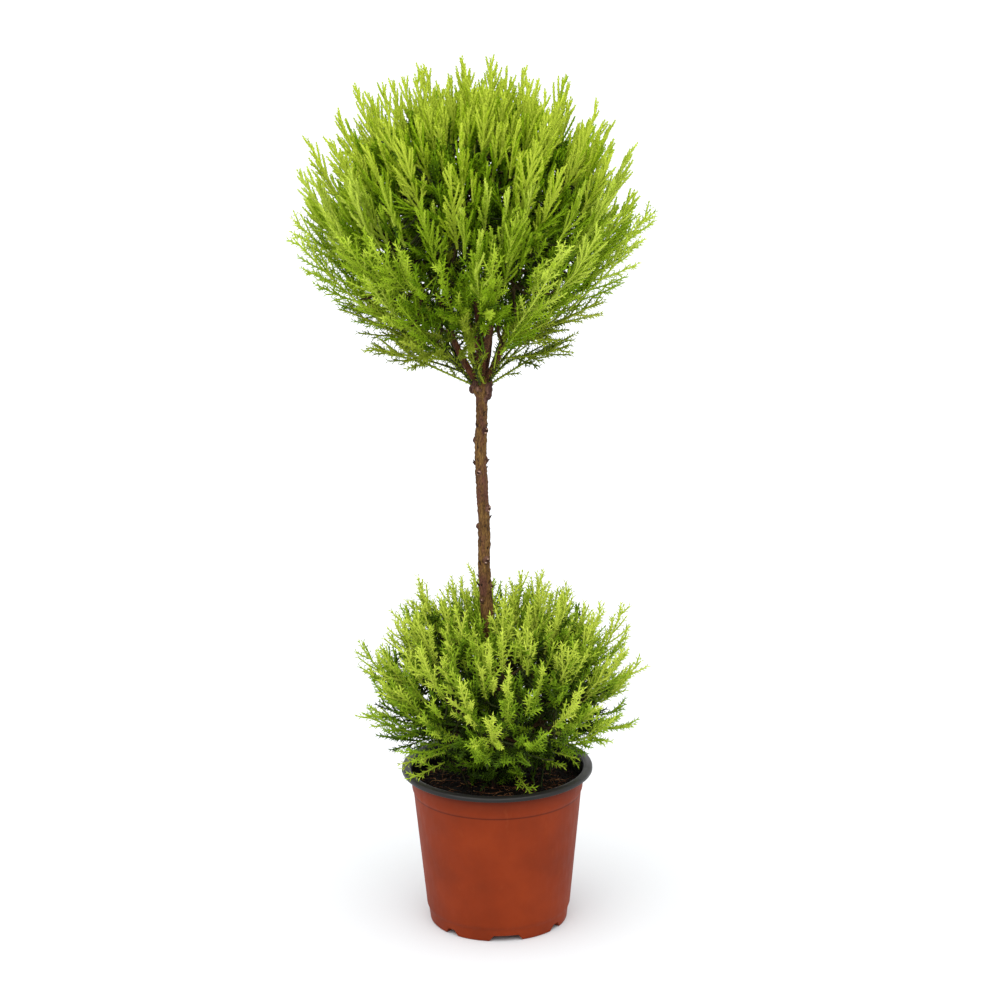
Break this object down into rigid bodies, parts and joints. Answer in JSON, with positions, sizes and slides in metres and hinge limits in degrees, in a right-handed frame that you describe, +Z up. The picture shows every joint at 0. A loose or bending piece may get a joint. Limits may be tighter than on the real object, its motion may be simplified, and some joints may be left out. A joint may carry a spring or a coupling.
{
  "type": "potted lemon cypress",
  "caption": "Lemon cypress grown as a half-standard: a ragged ball of feathery foliage on a bare stem, over a low bushy tier at its foot, in a tapered round nursery pot filled with soil.",
  "frame": {"origin": "centre of the pot's flat underside", "axes": "+Z up the stem, -Y towards the front, +X to the right seen from the front"},
  "size_m": [0.3411, 0.3468, 0.8613],
  "materials": {
    "pot": "terracotta-brown plastic, satin",
    "rim": "black plastic, satin",
    "soil": "dark moist potting mix",
    "trunk_bark": "olive-brown flaking bark",
    "bough_bark": "reddish-brown young bark",
    "crown_foliage": "yellow-green needles",
    "bush_foliage": "green to yellow-green needles"
  },
  "bodies": {
    "root": {"pot": "pot", "pot_rim": "rim", "soil": "soil", "trunk": "trunk_bark", "crown_leader": "bough_bark", "crown_bough_1": "bough_bark", "crown_bough_2": "bough_bark", "crown_bough_3": "bough_bark", "crown_bough_4": "bough_bark", "crown_bough_5": "bough_bark", "crown_bough_6": "bough_bark", "bush_stem_outer_1": "bough_bark", "bush_stem_outer_2": "bough_bark", "bush_stem_outer_3": "bough_bark", "bush_stem_outer_4": "bough_bark", "bush_stem_outer_5": "bough_bark", "bush_stem_outer_6": "bough_bark", "bush_stem_inner_1": "bough_bark", "bush_stem_inner_2": "bough_bark", "bush_stem_inner_3": "bough_bark", "bush_stem_inner_4": "bough_bark", "bush_stem_inner_5": "bough_bark", "crown_foliage_top_1": "crown_foliage", "crown_foliage_ring_1": "crown_foliage", "crown_foliage_ring_2": "crown_foliage", "crown_foliage_ring_3": "crown_foliage", "crown_foliage_ring_4": "crown_foliage", "crown_foliage_ring_5": "crown_foliage", "crown_foliage_ring_6": "crown_foliage", "crown_foliage_skirt_1": "crown_foliage", "crown_foliage_skirt_2": "crown_foliage", "crown_foliage_skirt_3": "crown_foliage", "crown_foliage_skirt_4": "crown_foliage", "crown_foliage_skirt_5": "crown_foliage", "crown_foliage_skirt_6": "crown_foliage", "bush_foliage_outer_1": "bush_foliage", "bush_foliage_outer_2": "bush_foliage", "bush_foliage_outer_3": "bush_foliage", "bush_foliage_outer_4": "bush_foliage", "bush_foliage_outer_5": "bush_foliage", "bush_foliage_outer_6": "bush_foliage", "bush_foliage_inner_1": "bush_foliage", "bush_foliage_inner_2": "bush_foliage", "bush_foliage_inner_3": "bush_foliage", "bush_foliage_inner_4": "bush_foliage", "bush_foliage_inner_5": "bush_foliage"}
  },
  "joints": []
}
